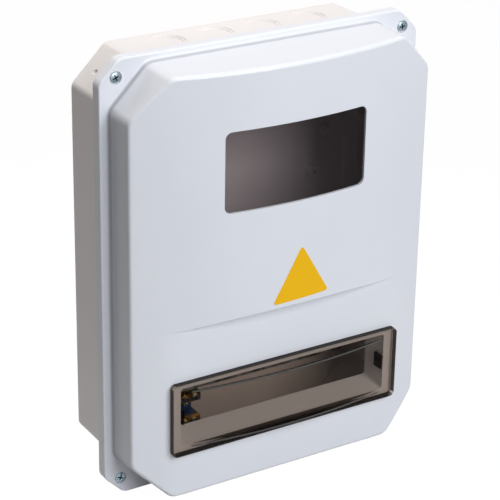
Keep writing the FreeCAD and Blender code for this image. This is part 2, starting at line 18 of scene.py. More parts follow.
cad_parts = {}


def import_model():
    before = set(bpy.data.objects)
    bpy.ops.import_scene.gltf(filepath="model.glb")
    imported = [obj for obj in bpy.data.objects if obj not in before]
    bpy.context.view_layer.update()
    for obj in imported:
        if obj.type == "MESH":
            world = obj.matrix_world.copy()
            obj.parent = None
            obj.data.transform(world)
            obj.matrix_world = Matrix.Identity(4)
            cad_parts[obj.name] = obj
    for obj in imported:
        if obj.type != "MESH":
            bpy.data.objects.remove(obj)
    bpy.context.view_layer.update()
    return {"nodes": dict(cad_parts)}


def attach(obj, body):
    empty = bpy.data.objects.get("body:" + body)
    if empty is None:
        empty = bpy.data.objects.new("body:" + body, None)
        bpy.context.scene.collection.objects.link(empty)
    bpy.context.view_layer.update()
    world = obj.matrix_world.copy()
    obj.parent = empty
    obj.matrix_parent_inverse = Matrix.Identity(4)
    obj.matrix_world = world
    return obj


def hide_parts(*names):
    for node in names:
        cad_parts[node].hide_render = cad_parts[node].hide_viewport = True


LOG = logging.getLogger("meter_box")
MM = 0.001
SHARP_DEG = 32.0
MERGE = 0.002 * MM
SLIVER = 0.001 * MM
NOISE_ROUGHNESS = 0.55
RECESS_SHADE = "recess"

Colour = tuple[float, float, float]
Point = tuple[float, float, float]
Span = tuple[float, float]

WHITE: Colour = (1.0, 1.0, 1.0)


def linear(red: int, green: int, blue: int) -> Colour:
    """Turn a display colour into the linear values that a shader takes.

    Args:
        red: Display red from 0 to 255.
        green: Display green from 0 to 255.
        blue: Display blue from 0 to 255.

    Returns:
        The three linear values.
    """
    def one(level: int) -> float:
        """Linear value of one channel."""
        share = level / 255
        return share / 12.92 if share <= 0.04045 else ((share + 0.055) / 1.055) ** 2.4

    return one(red), one(green), one(blue)


class Signal:
    """A shader socket that takes part in Python expressions."""

    def __init__(self, graph: Graph, socket: bpy.types.NodeSocket) -> None:
        """Wrap one output socket of a graph."""
        self.graph = graph
        self.socket = socket

    def _math(self, operation: str, first: object, second: object) -> Signal:
        """Add one Math node.

        Args:
            operation: The Math node's operation.
            first: Value or signal of the first input.
            second: Value or signal of the second input.

        Returns:
            The result.
        """
        return self.graph.node("ShaderNodeMath", {"operation": operation}, {0: first, 1: second})

    def __add__(self, other: object) -> Signal:
        """Sum."""
        return self._math("ADD", self, other)

    def __radd__(self, other: object) -> Signal:
        """Sum with a number in front."""
        return self._math("ADD", other, self)

    def __sub__(self, other: object) -> Signal:
        """Difference."""
        return self._math("SUBTRACT", self, other)

    def __rsub__(self, other: object) -> Signal:
        """Difference from a number in front."""
        return self._math("SUBTRACT", other, self)

    def __mul__(self, other: object) -> Signal:
        """Product."""
        return self._math("MULTIPLY", self, other)

    def __rmul__(self, other: object) -> Signal:
        """Product with a number in front."""
        return self._math("MULTIPLY", other, self)

    def above(self, level: float) -> Signal:
        """One where the signal is above a level, zero elsewhere."""
        return self._math("GREATER_THAN", self, level)

    def larger(self, other: object) -> Signal:
        """The larger of two signals at each point."""
        return self._math("MAXIMUM", self, other)

    def size(self) -> Signal:
        """The signal without its sign."""
        return self._math("ABSOLUTE", self, 0.0)

    def part(self, name: str) -> Signal:
        """Another output of the node that gives this signal."""
        return Signal(self.graph, self.socket.node.outputs[name])


class Graph:
    """The node graph of one material or world."""

    def __init__(self, owner: bpy.types.Material | bpy.types.World) -> None:
        """Start an empty graph.

        Args:
            owner: The material or world that the graph belongs to.
        """
        owner.use_nodes = True
        self.tree = owner.node_tree
        self.tree.nodes.clear()

    def node(self, kind: str, settings: Mapping[str, object] | None = None,
             inputs: Mapping[str | int, object] | None = None, output: str | int = 0) -> Signal:
        """Add one node of any kind.

        Args:
            kind: The node's type.
            settings: Its properties, which are set first.
            inputs: Values or signals of its input sockets, by name or number.
            output: The output socket that is handed back, by name or number.

        Returns:
            The output as a signal.
        """
        made = self.tree.nodes.new(kind)
        for key, value in (settings or {}).items():
            setattr(made, key, value)
        for key, value in (inputs or {}).items():
            self.feed(made.inputs[key], value)
        return Signal(self, made.outputs[output])

    def feed(self, socket: bpy.types.NodeSocket, value: object) -> None:
        """Link a signal to a socket, or set the socket's own value.

        Args:
            socket: The input socket.
            value: A signal, a number, a vector or a colour.
        """
        if isinstance(value, Signal):
            self.tree.links.new(value.socket, socket)
        elif isinstance(value, tuple) and len(value) == 3 and socket.type == "RGBA":
            socket.default_value = (*value, 1.0)
        else:
            socket.default_value = value

    def here(self) -> Signal:
        """Object coordinates."""
        return self.node("ShaderNodeTexCoord", output="Object")

    def place(self, scale: Point = (1.0, 1.0, 1.0)) -> Signal:
        """Object coordinates, stretched by a scale."""
        return self.node("ShaderNodeMapping", {}, {"Vector": self.here(), "Scale": scale})

    def noise(self, scale: float, detail: float = 2.0, stretch: Point = (1.0, 1.0, 1.0)) -> Signal:
        """Smooth noise from 0 to 1.

        Args:
            scale: Spots in a metre.
            detail: How much finer noise is added.
            stretch: Scale of the three axes.

        Returns:
            The noise as a value.
        """
        return self.node("ShaderNodeTexNoise", {}, {"Vector": self.place(stretch), "Scale": scale,
                                                    "Detail": detail, "Roughness": NOISE_ROUGHNESS})

    def ramp(self, value: Signal, low: float, high: float) -> Signal:
        """Stretch the part of a value between two levels to the range from 0 to 1."""
        return self.node("ShaderNodeMapRange", {"clamp": True},
                         {"Value": value, "From Min": low, "From Max": high})

    def mix(self, share: object, first: object, second: object) -> Signal:
        """Mix two colours."""
        return self.node("ShaderNodeMix", {"data_type": "RGBA"}, {0: share, 6: first, 7: second}, output=2)

    def bump(self, height: Signal, distance: float) -> Signal:
        """Turn a height into a normal."""
        return self.node("ShaderNodeBump", {}, {"Height": height, "Distance": distance, "Strength": 1.0})

    def split(self, vector: Signal) -> Signal:
        """The three parts of a vector, which part() tells apart by X, Y and Z."""
        return self.node("ShaderNodeSeparateXYZ", {}, {0: vector})

    def body(self, **inputs: object) -> Signal:
        """Add a Principled shader, with socket names written with underscores."""
        named = {key.replace("_", " "): value for key, value in inputs.items()}
        return self.node("ShaderNodeBsdfPrincipled", {}, named)

    def surface(self, **inputs: object) -> None:
        """End the graph in a Principled shader, with socket names written with underscores."""
        self.node_output(self.body(**inputs), "ShaderNodeOutputMaterial")

    def node_output(self, shader: Signal, kind: str) -> None:
        """Link a shader to the graph's output."""
        made = self.tree.nodes.new(kind)
        self.tree.links.new(shader.socket, made.inputs["Surface"])


@dataclass(frozen=True)
class Spots:
    """Noise that shows between two of its levels."""

    scale: float
    detail: float
    low: float
    high: float
    stretch: Point = (1.0, 1.0, 1.0)

    def mask(self, graph: Graph) -> Signal:
        """Zero up to the low level and one from the high level on."""
        return graph.ramp(graph.noise(self.scale, self.detail, self.stretch), self.low, self.high)


@dataclass(frozen=True)
class CreaseShade:
    """Painted shade at the foot where the cover's raised front stands on its flange."""

    flange: float
    rise: float
    colour: Colour
    share: float
    begins: Span = (0.07, 0.45)
    ends: Span = (0.7, 1.7)

    def mask(self, graph: Graph) -> Signal:
        """How much of the painted shade shows.

        Args:
            graph: The graph of the cover's material.

        Returns:
            The mask, from zero to the painted shade's share.
        """
        depth = -1.0 * graph.split(graph.here()).part("Y")
        ahead = (depth - self.flange) * (1.0 / self.rise)
        start = graph.ramp(ahead, *self.begins)
        end = graph.ramp(ahead, *self.ends)
        return start * (1.0 - end) * self.share


@dataclass(frozen=True)
class MouldedPlastic:
    """Injection-moulded plastic with a faint grain and slow waves in its gloss."""

    name: str
    colour: Colour
    shade: Colour
    roughness: float
    grain: float = 900.0
    grain_height: float = 0.02 * MM
    shine: float = 0.5
    crease_shade: CreaseShade | None = None
    wave: float = 9.0
    wave_height: float = 0.25 * MM
    cloud: Spots = Spots(7.0, 3.0, 0.3, 0.7)
    cloud_share: float = 0.5
    speck: Spots = Spots(420.0, 1.0, 0.62, 0.74)
    speck_share: float = 0.12
    touch: Spots = Spots(24.0, 4.0, 0.45, 0.75)
    touch_wear: float = 0.08

    def material(self) -> bpy.types.Material:
        """Build the material.

        Returns:
            The material.
        """
        made = bpy.data.materials.new(self.name)
        graph = Graph(made)
        shading = self.cloud.mask(graph) * self.cloud_share + self.speck.mask(graph) * self.speck_share
        tone = graph.mix(shading, self.colour, self.shade)
        # Painted shade at the foot of a raised part, where one is given.
        if self.crease_shade is not None:
            tone = graph.mix(self.crease_shade.mask(graph), tone, self.crease_shade.colour)
        grain = graph.noise(self.grain) * (self.grain_height / self.wave_height)
        height = grain + graph.noise(self.wave, 1.0)
        graph.surface(Base_Color=tone, Roughness=self.touch.mask(graph) * self.touch_wear + self.roughness,
                      Specular_IOR_Level=self.shine, Normal=graph.bump(height, self.wave_height))
        return made


@dataclass(frozen=True)
class LidEdgeShade:
    """Painted shade on the lid's outline, clips, bow edge lines and lower wall, which also stands for the
    plastic's own darkness where light runs far through it.
    """

    half_width: float
    half_height: float
    middle_z: float
    back: float
    lip_front: float
    bow_half: float
    width: float = 0.3 * MM
    line: float = 1.5 * MM
    fade: float = 0.2 * MM
    wall: float = 4.0 * MM
    wall_fade: float = 1.0 * MM
    bow_half_width: float = 110.0 * MM
    bulge: float = 10.0 * MM
    reach: float = 3.5 * MM
    level_z: float = 0.7
    edge_cover: float = 0.93
    rim_cover: float = 0.96
    wall_cover: float = 0.75

    def mask(self, graph: Graph) -> tuple[Signal, Signal]:
        """How much painted shade the lid gets.

        Args:
            graph: The graph of the lid's material.

        Returns:
            The painted shade's share, and its share where the plastic is dull, from zero to one.
        """
        here = graph.split(graph.here())
        height = here.part("Z") - self.middle_z
        ahead = -1.0 * here.part("Y")
        normal = graph.split(graph.node("ShaderNodeNewGeometry", output="True Normal"))
        level = normal.part("Z").size().above(self.level_z)
        across = here.part("X").size() - (self.half_width - self.width)
        over = height.size() - (self.half_height - self.width)
        outline = graph.ramp(across.larger(over), -self.fade, self.fade)
        clip = 1.0 - graph.ramp(ahead, self.back - self.fade, self.back)
        bow = graph.ramp(ahead, self.lip_front, self.lip_front + self.fade)
        rim_from = self.bow_half - self.line
        rim = graph.ramp(height.size(), rim_from - self.fade, rim_from)
        wall_from = self.bow_half - self.wall
        lower = graph.ramp(-1.0 * height, wall_from, wall_from + self.wall_fade)
        share = here.part("X") * (1.0 / self.bow_half_width)
        front = (1.0 - share * share) * self.bulge + (self.lip_front - self.reach)
        edge = graph.ramp(ahead - front, 0.0, self.fade) * bow * level * height.above(0.0)
        # Painted shade: the outline, the clips, the bow's lower wall and its edge lines darken the lid.
        thick_and_shaded = outline.larger(clip) * self.edge_cover
        matte = thick_and_shaded.larger(level * lower.larger(edge) * self.wall_cover)
        return matte.larger(rim * bow * (1.0 - level) * self.rim_cover), matte


@dataclass(frozen=True)
class SmokedPlastic:
    """Clear plastic with a brown smoke tint, seen through."""

    name: str
    colour: Colour
    tint: Colour
    cover: float
    edges: LidEdgeShade | None = None
    roughness: float = 0.06
    shine: float = 0.8
    ior: float = 1.5
    edge_roughness: float = 0.45
    edge_shine: float = 0.1
    dust: Spots = Spots(1500.0, 1.0, 0.70, 0.78)
    dust_colour: Colour = linear(150, 142, 132)
    dust_share: float = 0.15
    dust_cover: float = 0.04
    flow: Spots = Spots(14.0, 3.0, 0.35, 0.75, (1.0, 1.0, 0.35))
    flow_wear: float = 0.05
    wave: float = 11.0
    wave_height: float = 0.12 * MM

    def material(self) -> bpy.types.Material:
        """Build the material.

        Returns:
            The material.
        """
        made = bpy.data.materials.new(self.name)
        graph = Graph(made)
        dust = self.dust.mask(graph)
        tone = graph.mix(dust * self.dust_share, self.colour, self.dust_colour)
        share = dust * self.dust_cover + self.cover
        waves = graph.bump(graph.noise(self.wave, 1.0), self.wave_height)
        gloss = self.flow.mask(graph) * self.flow_wear + self.roughness
        body = graph.body(Base_Color=tone, Roughness=gloss, IOR=self.ior,
                          Specular_IOR_Level=self.shine, Normal=waves)
        if self.edges is not None:
            # Painted shade from the lid's edge mask.
            dark, matte = self.edges.mask(graph)
            share = share.larger(dark)
            edge = graph.body(Base_Color=tone, Roughness=self.edge_roughness,
                              Specular_IOR_Level=self.edge_shine)
            body = graph.node("ShaderNodeMixShader", {}, {0: matte, 1: body, 2: edge})
        clear = graph.node("ShaderNodeBsdfTransparent", {}, {"Color": self.tint})
        mixed = graph.node("ShaderNodeMixShader", {}, {0: share, 1: clear, 2: body})
        graph.node_output(mixed, "ShaderNodeOutputMaterial")
        return made


@dataclass(frozen=True)
class PlatedSteel:
    """Zinc-plated steel with bluish patches, with painted shade in a screw's recess."""

    name: str
    colour: Colour
    patch: Colour
    recess: Colour
    roughness: float = 0.26
    patches: Spots = Spots(160.0, 3.0, 0.4, 0.65)
    patch_wear: float = 0.12
    recess_wear: float = 0.2
    grain: float = 2600.0
    grain_height: float = 0.02 * MM

    def material(self) -> bpy.types.Material:
        """Build the material.

        Returns:
            The material.
        """
        made = bpy.data.materials.new(self.name)
        graph = Graph(made)
        patches = self.patches.mask(graph)
        # Painted shade on the faces inside a screw's recess.
        recess = graph.node("ShaderNodeAttribute", {"attribute_name": RECESS_SHADE}, output="Fac")
        tone = graph.mix(recess, graph.mix(patches, self.colour, self.patch), self.recess)
        wear = patches * self.patch_wear + recess * self.recess_wear
        graph.surface(Base_Color=tone, Metallic=1.0, Roughness=wear + self.roughness,
                      Normal=graph.bump(graph.noise(self.grain), self.grain_height))
        return made


@dataclass(frozen=True)
class GalvanisedSteel:
    """Hot-dip zinc with its flower pattern."""

    name: str
    colour: Colour
    dark: Colour
    roughness: float = 0.3
    flower: float = 140.0
    flower_wear: float = 0.2
    grain: float = 900.0
    grain_height: float = 0.02 * MM

    def material(self) -> bpy.types.Material:
        """Build the material.

        Returns:
            The material.
        """
        made = bpy.data.materials.new(self.name)
        graph = Graph(made)
        cells = graph.node("ShaderNodeTexVoronoi", {},
                           {"Vector": graph.place(), "Scale": self.flower}, "Color")
        level = graph.node("ShaderNodeSeparateColor", {}, {"Color": cells})
        graph.surface(Base_Color=graph.mix(level, self.dark, self.colour), Metallic=1.0,
                      Roughness=level * self.flower_wear + self.roughness,
                      Normal=graph.bump(graph.noise(self.grain), self.grain_height))
        return made


@dataclass(frozen=True)
class DrawnBrass:
    """Brass bar with fine lines along its length."""

    name: str
    colour: Colour
    tarnish: Colour
    roughness: float = 0.2
    line: float = 1400.0
    line_stretch: Point = (0.03, 1.0, 1.0)
    line_height: float = 0.02 * MM
    line_wear: float = 0.15
    stain: Spots = Spots(60.0, 4.0, 0.45, 0.7)
    stain_share: float = 0.6

    def material(self) -> bpy.types.Material:
        """Build the material.

        Returns:
            The material.
        """
        made = bpy.data.materials.new(self.name)
        graph = Graph(made)
        lines = graph.noise(self.line, stretch=self.line_stretch)
        tone = graph.mix(self.stain.mask(graph) * self.stain_share, self.colour, self.tarnish)
        graph.surface(Base_Color=tone, Metallic=1.0, Roughness=lines * self.line_wear + self.roughness,
                      Normal=graph.bump(lines, self.line_height))
        return made


@dataclass(frozen=True)
class PrintedFilm:
    """Self-adhesive film with a printed colour."""

    name: str
    colour: Colour
    shade: Colour
    roughness: float = 0.34
    shine: float = 0.25
    ink: Spots = Spots(1800.0, 2.0, 0.45, 0.8)
    ink_share: float = 0.2
    fading: float = 30.0
    fading_share: float = 0.2
    fading_wear: float = 0.1
    ripple: float = 260.0
    ripple_height: float = 0.02 * MM

    def material(self) -> bpy.types.Material:
        """Build the material.

        Returns:
            The material.
        """
        made = bpy.data.materials.new(self.name)
        graph = Graph(made)
        fading = graph.noise(self.fading)
        share = self.ink.mask(graph) * self.ink_share + fading * self.fading_share
        graph.surface(Base_Color=graph.mix(share, self.colour, self.shade),
                      Roughness=fading * self.fading_wear + self.roughness, Specular_IOR_Level=self.shine,
                      Normal=graph.bump(graph.noise(self.ripple), self.ripple_height))
        return made


class Finish(Enum):
    """The finishes of the meter box."""

    COVER = MouldedPlastic("cover_white", linear(222, 225, 232), linear(214, 218, 227), 0.28, shine=0.35,
                           # Painted shade at the foot of the raised front.
                           crease_shade=CreaseShade(flange=71.0 * MM, rise=3.5 * MM,
                                         colour=linear(150, 150, 158), share=0.7))
    TRAY = MouldedPlastic("tray_white", linear(232, 228, 228), linear(222, 217, 217), 0.34, shine=0.4)
    LID = SmokedPlastic("smoked_lid", linear(30, 26, 24), (0.83, 0.785, 0.745), 0.03,
                        # Painted shade on the lid's outline, clips, bow edges and lower wall.
                        LidEdgeShade(half_width=121.75 * MM, half_height=36.35 * MM, middle_z=-120.3 * MM,
                                 back=116.4 * MM, lip_front=122.6 * MM, bow_half=28.25 * MM))
    PANE = SmokedPlastic("smoked_pane", linear(30, 26, 25), (0.83, 0.80, 0.805), 0.05)
    # The third colour is painted shade in the screws' recesses.
    ZINC = PlatedSteel("zinc_plate", linear(164, 177, 184), linear(116, 138, 150), linear(36, 60, 80))
    GALVANISED = GalvanisedSteel("galvanised_sheet", linear(190, 194, 198), linear(140, 146, 152))
    BRASS = DrawnBrass("drawn_brass", linear(214, 170, 88), linear(170, 122, 60))
    GREEN = MouldedPlastic("green_insulator", linear(38, 110, 60), linear(30, 92, 50), 0.40)
    BLUE = MouldedPlastic("blue_insulator", linear(26, 74, 140), linear(20, 60, 120), 0.40)
    NYLON = MouldedPlastic("natural_nylon", linear(228, 226, 214), linear(216, 212, 198), 0.43)
    RUBBER = MouldedPlastic("seal_rubber", linear(38, 38, 40), linear(28, 28, 30), 0.68,
                            grain=1400.0, grain_height=0.05 * MM)
    YELLOW = PrintedFilm("yellow_film", linear(238, 184, 8), linear(230, 174, 6))


class Wardrobe:
    """The materials, each made once."""

    def __init__(self) -> None:
        """Start with nothing made."""
        self._made: dict[Finish, bpy.types.Material] = {}

    def get(self, finish: Finish) -> bpy.types.Material:
        """The material of a finish.

        Args:
            finish: The finish.

        Returns:
            Its material, which is made when it is first asked for.
        """
        if finish not in self._made:
            self._made[finish] = finish.value.material()
        return self._made[finish]

    def dress(self, piece: bpy.types.Object, finish: Finish) -> None:
        """Give a piece one finish all over.

        Args:
            piece: The object.
            finish: Its finish.
        """
        material = self.get(finish)
        if not piece.material_slots:
            piece.data.materials.append(material)
        for slot in piece.material_slots:
            slot.material = material


def new_piece(name: str, mesh: bpy.types.Mesh) -> bpy.types.Object:
    """Put a mesh into the scene at the origin.

    Args:
        name: Name of the piece.
        mesh: Its mesh.

    Returns:
        The piece.
    """
    piece = bpy.data.objects.new(name, mesh)
    bpy.context.scene.collection.objects.link(piece)
    return piece


def smooth_copy(node: bpy.types.Object, name: str, sharp_deg: float = SHARP_DEG) -> bpy.types.Object:
    """Copy a solid of the frame with merged points and smooth shading.

    Args:
        node: The solid's object.
        name: Name of the copy.
        sharp_deg: Edges that turn by more stay sharp.

    Returns:
        The copy.
    """
    mesh = node.data.copy()
    mesh.name = name
    work = bmesh.new()
    work.from_mesh(mesh)
    bmesh.ops.remove_doubles(work, verts=work.verts, dist=MERGE)
    bmesh.ops.dissolve_degenerate(work, edges=work.edges, dist=SLIVER)
    work.to_mesh(mesh)
    work.free()
    settle_normals(mesh, sharp_deg)
    return new_piece(name, mesh)


def flat_areas(mesh: bpy.types.Mesh, flat_deg: float = 0.3) -> list[float]:
    """Area of the flat region that each face is a part of.

    Args:
        mesh: The mesh, with merged points.
        flat_deg: Neighbours that turn by less lie in one region.

    Returns:
        One area for each face.
    """
    limit = math.cos(math.radians(flat_deg))
    faces = mesh.polygons
    owner = list(range(len(faces)))

    def root(index: int) -> int:
        """First face of the region that a face is in.

        Args:
            index: Number of the face.

        Returns:
            Number of the region's first face.
        """
        while owner[index] != index:
            owner[index] = owner[owner[index]]
            index = owner[index]
        return index

    beside: dict[tuple[int, int], int] = {}
    for face in faces:
        for edge in face.edge_keys:
            other = beside.setdefault(edge, face.index)
            if other != face.index and face.normal.dot(faces[other].normal) > limit:
                owner[root(face.index)] = root(other)
    areas = [0.0] * len(faces)
    for face in faces:
        areas[root(face.index)] += face.area
    return [areas[root(face.index)] for face in faces]


def settle_normals(mesh: bpy.types.Mesh, sharp_deg: float) -> None:
    """Shade a mesh smoothly, so that a large flat wall stays flat up to its rounded edges.

    Args:
        mesh: The mesh, with merged points.
        sharp_deg: Faces that turn by more don't share a normal.
    """
    areas = flat_areas(mesh)
    limit = math.cos(math.radians(sharp_deg))
    around: list[list[int]] = [[] for _ in mesh.vertices]
    for face in mesh.polygons:
        face.use_smooth = True
        for vertex in face.vertices:
            around[vertex].append(face.index)
    normals = [Vector((0.0, 0.0, 1.0))] * len(mesh.loops)
    for face in mesh.polygons:
        for loop in face.loop_indices:
            total = Vector()
            for other in around[mesh.loops[loop].vertex_index]:
                facing = mesh.polygons[other].normal
                if facing.dot(face.normal) > limit:
                    total += facing * areas[other]
            normals[loop] = total.normalized() if total.length > 0 else face.normal.copy()
    mesh.normals_split_custom_set(normals)


def applied(piece: bpy.types.Object) -> bpy.types.Mesh:
    """The mesh of a piece with its modifiers worked in."""
    graph = bpy.context.evaluated_depsgraph_get()
    return bpy.data.meshes.new_from_object(piece.evaluated_get(graph), depsgraph=graph)


class Drive(Enum):
    """What a screwdriver fits into."""

    CROSS = "cross"
    SLOT = "slot"


@dataclass(frozen=True)
class ScrewSizes:
    """Sizes of one kind of screw."""

    head_radius: float
    head_height: float
    dome: float
    shank_radius: float
    shank_length: float
    recess_length: float
    recess_width: float
    recess_depth: float
    drive: Drive


COVER_SCREW = ScrewSizes(head_radius=4.6 * MM, head_height=1.5 * MM, dome=0.8 * MM,
                         shank_radius=2.0 * MM, shank_length=7.6 * MM, recess_length=6.0 * MM,
                         recess_width=1.3 * MM, recess_depth=1.7 * MM, drive=Drive.CROSS)
WIRE_SCREW = ScrewSizes(head_radius=2.9 * MM, head_height=2.3 * MM, dome=0.3 * MM,
                        shank_radius=2.0 * MM, shank_length=3.0 * MM, recess_length=7.0 * MM,
                        recess_width=0.8 * MM, recess_depth=1.0 * MM, drive=Drive.SLOT)
END_SCREW = ScrewSizes(head_radius=3.6 * MM, head_height=1.5 * MM, dome=0.7 * MM,
                       shank_radius=1.6 * MM, shank_length=18.0 * MM, recess_length=4.2 * MM,
                       recess_width=0.8 * MM, recess_depth=1.1 * MM, drive=Drive.CROSS)


class ScrewTree:
    """Geometry Nodes that put one kind of screw on every point of a mesh, with its head to the front."""

    SIZES = ("Head Radius", "Head Height", "Dome", "Shank Radius", "Shank Length",
             "Recess Length", "Recess Width", "Recess Depth", "Second Bar")
    HEAD_SIDES = 40
    HEAD_BANDS = 3
    HEAD_RINGS = 7
    TOP_SHARE = 0.49
    SHANK_SIDES = 20
    RIM_SHARE = 0.96
    MARGIN = 0.1 * MM

    def __init__(self, name: str, seed: int) -> None:
        """Build the tree.

        Args:
            name: Name of the tree.
            seed: Seed of the screws' turns.
        """
        self.tree = bpy.data.node_groups.new(name, "GeometryNodeTree")
        self.tree.is_modifier = True
        self.keys: dict[str, str] = {}
        self._socket("Geometry", "INPUT", "NodeSocketGeometry")
        for size in self.SIZES:
            self._socket(size, "INPUT", "NodeSocketFloat")
        self._socket("Seed", "INPUT", "NodeSocketInt")
        self._socket("Finish", "INPUT", "NodeSocketMaterial")
        self._socket("Geometry", "OUTPUT", "NodeSocketGeometry")
        self.seed = seed
        self.given = self.tree.nodes.new("NodeGroupInput")
        self._wire()

    def _socket(self, name: str, way: str, kind: str) -> None:
        """Add one named socket to the tree's outside.

        Args:
            name: Name of the socket.
            way: INPUT or OUTPUT.
            kind: The socket's type.
        """
        made = self.tree.interface.new_socket(name=name, in_out=way, socket_type=kind)
        if way == "INPUT":
            self.keys[name] = made.identifier

    def _add(self, kind: str, settings: Mapping[str, object] | None = None,
             inputs: Mapping[str | int, object] | None = None) -> bpy.types.Node:
        """Add one node.

        Args:
            kind: The node's type.
            settings: Its properties.
            inputs: Values or linked sockets of its inputs. A list links several to one socket.

        Returns:
            The node.
        """
        made = self.tree.nodes.new(kind)
        for key, value in (settings or {}).items():
            setattr(made, key, value)
        for key, value in (inputs or {}).items():
            for one in value if isinstance(value, list) else [value]:
                if isinstance(one, bpy.types.NodeSocket):
                    self.tree.links.new(one, made.inputs[key])
                else:
                    made.inputs[key].default_value = one
        return made

    def _sum(self, operation: str, first: object, second: object) -> bpy.types.NodeSocket:
        """One Math node of the tree."""
        return self._add("ShaderNodeMath", {"operation": operation}, {0: first, 1: second}).outputs[0]

    def _bar(self, length: object, width: object) -> bpy.types.NodeSocket:
        """One bar of the recess, at the head's top.

        Args:
            length: Its length, a number or a socket.
            width: Its width, a number or a socket.

        Returns:
            The bar's geometry.
        """
        deep = self._sum("MULTIPLY", self.given.outputs["Recess Depth"], 2.0)
        size = self._add("ShaderNodeCombineXYZ", {}, {0: length, 1: width, 2: deep}).outputs[0]
        bar = self._add("GeometryNodeMeshCube", {}, {"Size": size}).outputs["Mesh"]
        top = self._sum("MULTIPLY", self.given.outputs["Head Height"], 0.5)
        top = self._sum("ADD", top, self.given.outputs["Dome"])
        lift = self._add("ShaderNodeCombineXYZ", {}, {2: top}).outputs[0]
        return self._add("GeometryNodeTransform", {}, {"Geometry": bar, "Translation": lift}).outputs[0]

    def _head(self) -> bpy.types.NodeSocket:
        """Domed head, before its recess.

        Returns:
            The head's geometry.
        """
        given = self.given.outputs
        disc = self._add("GeometryNodeMeshCylinder", {"fill_type": "TRIANGLE_FAN"},
                         {"Vertices": self.HEAD_SIDES, "Side Segments": self.HEAD_BANDS,
                          "Fill Segments": self.HEAD_RINGS, "Radius": given["Head Radius"],
                          "Depth": given["Head Height"]}).outputs["Mesh"]
        place = self._add("GeometryNodeInputPosition").outputs[0]
        split = self._add("ShaderNodeSeparateXYZ", {}, {0: place}).outputs
        square = self._sum("ADD", self._sum("MULTIPLY", split[0], split[0]),
                           self._sum("MULTIPLY", split[1], split[1]))
        limit = self._sum("MULTIPLY", given["Head Radius"], given["Head Radius"])
        fall = self._sum("SUBTRACT", 1.0, self._sum("DIVIDE", square, limit))
        rise = self._sum("MULTIPLY", fall, given["Dome"])
        rim = self._sum("MULTIPLY", given["Head Height"], self.TOP_SHARE)
        upper = self._sum("GREATER_THAN", split[2], rim)
        offset = self._add("ShaderNodeCombineXYZ", {}, {2: self._sum("MULTIPLY", rise, upper)}).outputs[0]
        return self._add("GeometryNodeSetPosition", {}, {"Geometry": disc, "Offset": offset}).outputs[0]

    def _wire(self) -> None:
        """Link the whole tree."""
        given = self.given.outputs
        bars = [self._bar(given["Recess Length"], given["Recess Width"]),
                self._bar(given["Recess Width"], given["Second Bar"])]
        head = self._add("GeometryNodeMeshBoolean", {"operation": "DIFFERENCE", "solver": "MANIFOLD"},
                         {"Mesh 1": self._head(), "Mesh 2": bars}).outputs["Mesh"]
        shank = self._add("GeometryNodeMeshCylinder", {},
                          {"Vertices": self.SHANK_SIDES, "Radius": given["Shank Radius"],
                           "Depth": given["Shank Length"]}).outputs["Mesh"]
        drop = self._sum("ADD", given["Head Height"], given["Shank Length"])
        drop = self._sum("MULTIPLY", drop, -0.5)
        below = self._add("ShaderNodeCombineXYZ", {}, {2: drop}).outputs[0]
        shank = self._add("GeometryNodeTransform", {}, {"Geometry": shank, "Translation": below}).outputs[0]
        screw = self._add("GeometryNodeJoinGeometry", {}, {0: [head, shank]}).outputs[0]
        seat = self._sum("MULTIPLY", given["Head Height"], 0.5)
        up = self._add("ShaderNodeCombineXYZ", {}, {2: seat}).outputs[0]
        screw = self._add("GeometryNodeTransform", {}, {"Geometry": screw, "Translation": up}).outputs[0]
        screw = self._add("GeometryNodeTransform", {},
                          {"Geometry": screw, "Rotation": (math.pi / 2, 0.0, 0.0)}).outputs[0]
        turn = self._add("FunctionNodeRandomValue", {"data_type": "FLOAT"},
                         {2: 0.0, 3: math.pi, "Seed": given["Seed"]}).outputs[1]
        angle = self._add("ShaderNodeCombineXYZ", {}, {1: turn}).outputs[0]
        spin = self._add("FunctionNodeEulerToRotation", {}, {0: angle}).outputs[0]
        many = self._add("GeometryNodeInstanceOnPoints", {},
                         {"Points": given["Geometry"], "Instance": screw, "Rotation": spin}).outputs[0]
        real = self._add("GeometryNodeRealizeInstances", {}, {0: many}).outputs[0]
        flat = self._add("GeometryNodeSetShadeSmooth", {},
                         {"Geometry": real, "Shade Smooth": False}).outputs[0]
        done = self._add("GeometryNodeSetMaterial", {},
                         {"Geometry": flat, "Material": given["Finish"]}).outputs[0]
        end = self.tree.nodes.new("NodeGroupOutput")
        self.tree.links.new(done, end.inputs[0])

    def place(self, name: str, points: Sequence[Vector], sizes: ScrewSizes,
              material: bpy.types.Material) -> bpy.types.Mesh:
        """Put screws on points.

        Args:
            name: Name of the mesh.
            points: Seats of the screws' heads.
            sizes: Sizes of the screws.
            material: Their finish.

        Returns:
            A plain mesh of all the screws.
        """
        mesh = bpy.data.meshes.new(name)
        mesh.from_pydata([tuple(point) for point in points], [], [])
        carrier = new_piece(name + "_points", mesh)
        modifier = carrier.modifiers.new("screws", "NODES")
        modifier.node_group = self.tree
        second = sizes.recess_length if sizes.drive is Drive.CROSS else sizes.recess_width
        values = (sizes.head_radius, sizes.head_height, sizes.dome, sizes.shank_radius, sizes.shank_length,
                  sizes.recess_length, sizes.recess_width, sizes.recess_depth, second)
        for size, value in zip(self.SIZES, values):
            modifier[self.keys[size]] = value
        modifier[self.keys["Seed"]] = self.seed
        modifier[self.keys["Finish"]] = material
        made = applied(carrier)
        made.name = name
        self._mark_recess(made, points, sizes)
        bpy.data.objects.remove(carrier)
        return made

